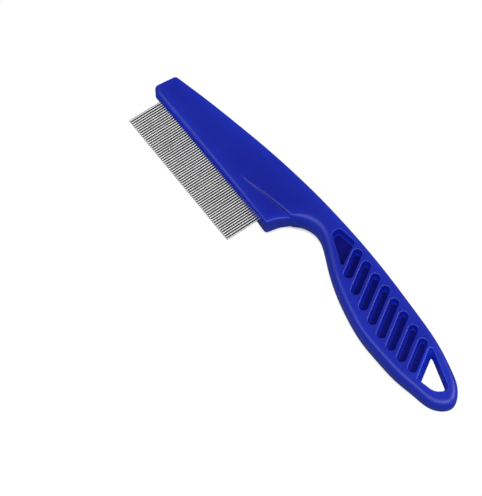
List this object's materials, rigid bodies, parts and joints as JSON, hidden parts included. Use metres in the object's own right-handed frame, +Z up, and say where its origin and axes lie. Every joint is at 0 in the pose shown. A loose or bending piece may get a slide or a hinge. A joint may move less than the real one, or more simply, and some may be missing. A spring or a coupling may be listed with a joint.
{
  "type": "flea comb",
  "caption": "One-piece plastic comb with a slotted grip, an offset neck with a finger curve and a single row of straight round-tipped steel pins for combing fleas out of a pet's coat",
  "frame": {"origin": "centre of the overall outline in plan, on the plane the comb rests on", "axes": "+X along the tooth row from the free end of the head to the grip end; the teeth point to -Y; +Z up out of the broad face that faces up when the comb lies flat"},
  "size_m": [0.1796, 0.0404, 0.0102],
  "materials": {
    "handle_plastic": "glossy ultramarine blue moulding",
    "pin_steel": "drawn and lightly polished stainless steel"
  },
  "bodies": {
    "root": {"handle": "handle_plastic", "teeth_01_02": "pin_steel", "teeth_03_04": "pin_steel", "teeth_05_06": "pin_steel", "teeth_07_08": "pin_steel", "teeth_09_10": "pin_steel", "teeth_11_12": "pin_steel", "teeth_13_14": "pin_steel", "teeth_15_16": "pin_steel", "teeth_17_18": "pin_steel", "teeth_19_20": "pin_steel", "teeth_21_22": "pin_steel", "teeth_23_24": "pin_steel", "teeth_25_26": "pin_steel", "teeth_27_28": "pin_steel", "teeth_29_30": "pin_steel", "teeth_31_32": "pin_steel", "teeth_33_34": "pin_steel", "teeth_35_36": "pin_steel", "teeth_37_38": "pin_steel", "teeth_39_40": "pin_steel", "teeth_41_42": "pin_steel", "teeth_43_44": "pin_steel", "teeth_45_46": "pin_steel", "teeth_47_48": "pin_steel", "teeth_49_50": "pin_steel", "teeth_51_52": "pin_steel", "teeth_53_54": "pin_steel", "teeth_55_56": "pin_steel", "teeth_57_58": "pin_steel", "teeth_59_60": "pin_steel", "teeth_61_62": "pin_steel", "teeth_63_64": "pin_steel"}
  },
  "joints": []
}
